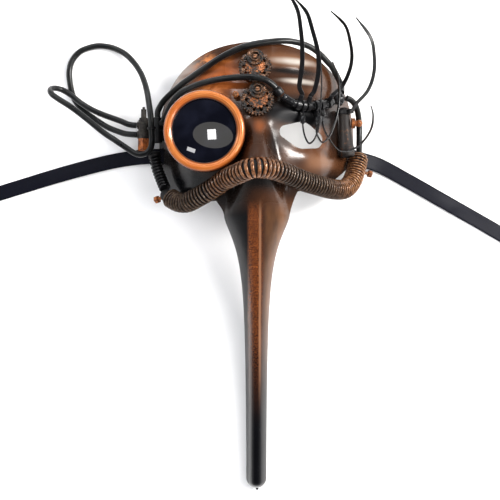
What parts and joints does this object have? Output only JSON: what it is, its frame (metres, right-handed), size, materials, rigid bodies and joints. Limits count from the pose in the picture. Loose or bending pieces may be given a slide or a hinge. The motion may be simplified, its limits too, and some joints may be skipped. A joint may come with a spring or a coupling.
{
  "type": "plague doctor mask",
  "caption": "Half mask with a long curved beak, a round goggle over one eye, a corrugated hose across the nose, gear ornaments, cable loops, cable tie lashes and tie ribbons.",
  "frame": {"origin": "in the plane that the rim rests on, under the bridge of the nose at eye level", "axes": "+Z out of the front of the face, +Y up to the forehead, -Y down the beak, +X to the side of the open eye"},
  "size_m": [0.5548, 0.403, 0.1055],
  "materials": {
    "shell": "glossy, airbrushed in copper, brown and black",
    "goggle_black": "satin",
    "rubber": "matte",
    "lens": "polished, dark",
    "copper_ring": "copper paint, semi-gloss",
    "copper_fitting": "copper tone, worn",
    "fastener": "worn",
    "dark_bronze": "dark aged",
    "copper_gear": "aged copper",
    "copper_hose": "copper paint rubbed over black",
    "black_plastic": "satin",
    "black_hose": "semi-gloss",
    "valve_dark": "dark, dusty bronze rub",
    "rusty_copper": "rust and copper paint",
    "brown_tube": "dark brown with copper specks",
    "cable": "semi-gloss",
    "brow_rubber": "semi-gloss",
    "nylon": "semi-gloss",
    "satin": "satin weave"
  },
  "bodies": {
    "mask": {"mask_shell": "shell", "goggle_cup": "goggle_black", "goggle_gasket": "rubber", "goggle_lens": "lens", "goggle_ring": "copper_ring", "goggle_lug": "copper_fitting", "goggle_lug_screw": "fastener", "wheel_upper": "dark_bronze", "middle_gear_upper": "copper_gear", "gear_screw_upper": "fastener", "wheel_lower": "dark_bronze", "middle_gear_lower": "copper_gear", "gear_screw_lower": "fastener", "copper_hose": "copper_hose", "copper_hose_plug": "copper_hose", "hose_collar": "black_plastic", "black_hose": "black_hose", "black_hose_cap": "black_plastic", "hose_bolts": "copper_fitting", "cable_block": "black_plastic", "left_valve_body": "valve_dark", "left_valve_nut": "rusty_copper", "left_valve_nozzle": "valve_dark", "temple_tube": "brown_tube", "right_valve_flange": "copper_fitting", "forehead_cable": "cable", "goggle_cable": "cable", "goggle_cable_ferrule": "black_plastic", "brow_tube": "brow_rubber", "brow_junction": "black_plastic", "ear_loop_cable": "cable", "left_loop_cable": "cable", "loop_tie": "nylon", "lash_tie_1": "nylon", "lash_tie_2": "nylon", "lash_tie_3": "nylon", "lash_tie_4": "nylon", "lash_tie_5": "nylon", "lash_tie_6": "nylon", "lash_tie_7": "nylon", "ribbon_left": "satin", "ribbon_right": "satin"},
    "upper_hub_gear": {"hub_gear_upper": "dark_bronze"},
    "lower_hub_gear": {"hub_gear_lower": "dark_bronze"},
    "valve_knob": {"right_valve_knob": "copper_fitting"}
  },
  "joints": [
    {"name": "upper_gear_spin", "type": "hinge", "parent": "mask", "child": "upper_hub_gear", "pos_m": [-0.0015, 0.05965, 0.05502], "axis": [0, 0.2588, 0.9659], "continuous": true},
    {"name": "lower_gear_spin", "type": "hinge", "parent": "mask", "child": "lower_hub_gear", "pos_m": [0.0005, 0.03205, 0.06177], "axis": [0, 0.2588, 0.9659], "continuous": true},
    {"name": "valve_knob_turn", "type": "hinge", "parent": "mask", "child": "valve_knob", "pos_m": [0.0795, 0.0125, 0.0269], "axis": [1, 0, 0], "continuous": true}
  ]
}
